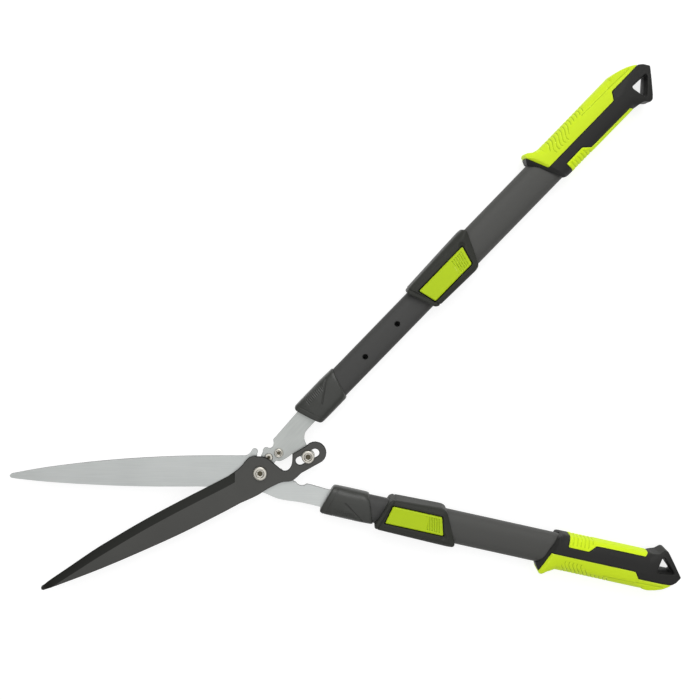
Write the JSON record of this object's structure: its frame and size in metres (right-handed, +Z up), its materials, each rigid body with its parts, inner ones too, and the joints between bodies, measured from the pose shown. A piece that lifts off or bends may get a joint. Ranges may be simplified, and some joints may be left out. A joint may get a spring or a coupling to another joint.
{
  "type": "telescopic hedge shears",
  "caption": "Hedge shears with telescoping oval handles, rocking length locks, soft grips and a slotted lever drive between arm and blade.",
  "frame": {"origin": "centre of the main pivot bolt's rear end face", "axes": "+Z up out of the front face, parallel to the pivot axis; +X from the pivot towards the handles; +Y towards the upper handle"},
  "size_m": [0.6828, 0.5245, 0.0324],
  "materials": {
    "blade_steel": "satin ground steel, brushed along the blade",
    "black_blade": "matt black coating",
    "handle_tube": "dark anodised satin",
    "black_plastic": "fine moulded grain",
    "lime_plastic": "satin",
    "lime_grip": "soft-touch satin",
    "nylon": "plain moulded",
    "spring_steel": "bright",
    "fastener": "nickel plated, bright"
  },
  "bodies": {
    "fixed_frame": {"arm_pivot_nut": "fastener", "arm_pivot_pin": "fastener", "backplate_rivet_1": "fastener", "backplate_rivet_2": "fastener", "fixed_blade": "blade_steel", "lower_collar": "black_plastic", "lower_end_plug": "nylon", "lower_inner_tube": "handle_tube", "lower_tang_plug_front": "nylon", "lower_tang_plug_rear": "nylon", "lower_tang_rivet_1": "fastener", "lower_tang_rivet_2": "fastener", "pivot_backplate": "blade_steel", "pivot_bolt": "fastener", "pivot_nut": "fastener", "pivot_washer": "fastener"},
    "moving_blade": {"blade_bushing": "nylon", "moving_blade": "black_blade"},
    "drive_arm": {"drive_bolt": "fastener", "drive_nut": "fastener", "drive_plate": "blade_steel", "drive_washer": "fastener", "stop_screw": "fastener", "upper_collar": "black_plastic", "upper_end_plug": "nylon", "upper_inner_tube": "handle_tube", "upper_tang_plug_front": "nylon", "upper_tang_plug_rear": "nylon", "upper_tang_rivet_1": "fastener", "upper_tang_rivet_2": "fastener"},
    "lower_slider": {"lower_grip_core": "black_plastic", "lower_grip_insert": "lime_grip", "lower_grip_overmould": "lime_grip", "lower_grip_screw": "fastener", "lower_guide_ring": "nylon", "lower_housing_screw": "fastener", "lower_lever_hinge_pin": "fastener", "lower_lever_spring": "nylon", "lower_lock_housing": "black_plastic", "lower_outer_tube": "handle_tube"},
    "lower_lever": {"lower_lock_lever": "lime_plastic", "lower_lock_pin": "fastener"},
    "upper_slider": {"upper_grip_core": "black_plastic", "upper_grip_insert": "lime_grip", "upper_grip_overmould": "lime_grip", "upper_grip_screw": "fastener", "upper_guide_ring": "nylon", "upper_housing_screw": "fastener", "upper_lever_hinge_pin": "fastener", "upper_lever_spring": "nylon", "upper_lock_housing": "black_plastic", "upper_outer_tube": "handle_tube"},
    "upper_lever": {"upper_lock_lever": "lime_plastic", "upper_lock_pin": "fastener"}
  },
  "joints": [
    {"name": "arm_pivot", "type": "hinge", "parent": "fixed_frame", "child": "drive_arm", "pos_m": [0.0085, 0.0153, 0.013], "axis": [0, 0, 1], "range_deg": [-36, 40]},
    {"name": "blade_pivot", "type": "hinge", "parent": "fixed_frame", "child": "moving_blade", "pos_m": [0, 0, 0.013], "axis": [0, 0, 1], "range_deg": [-26.5, 29.5]},
    {"name": "lower_telescope", "type": "slide", "parent": "fixed_frame", "child": "lower_slider", "axis": [0.9753, -0.2207, 0], "range_m": [0, 0.1047]},
    {"name": "upper_telescope", "type": "slide", "parent": "drive_arm", "child": "upper_slider", "axis": [0.6934, 0.7206, 0], "range_m": [-0.1047, 0]},
    {"name": "lower_lock", "type": "hinge", "parent": "lower_slider", "child": "lower_lever", "pos_m": [0.16747, -0.05033, 0.0263], "axis": [0.2207, 0.9753, 0], "range_deg": [0, 5], "stiffness_Nm_per_rad": 0.8, "springref_deg": -2.86, "deforming": ["lower_lever_spring"]},
    {"name": "upper_lock", "type": "hinge", "parent": "upper_slider", "child": "upper_lever", "pos_m": [0.19217, 0.20847, 0.0263], "axis": [-0.7206, 0.6934, 0], "range_deg": [0, 5], "stiffness_Nm_per_rad": 0.8, "springref_deg": -2.86, "deforming": ["upper_lever_spring"]}
  ],
  "couplings": [
    {"joint": "blade_pivot", "follows": "arm_pivot", "ratio": 0.7155}
  ]
}
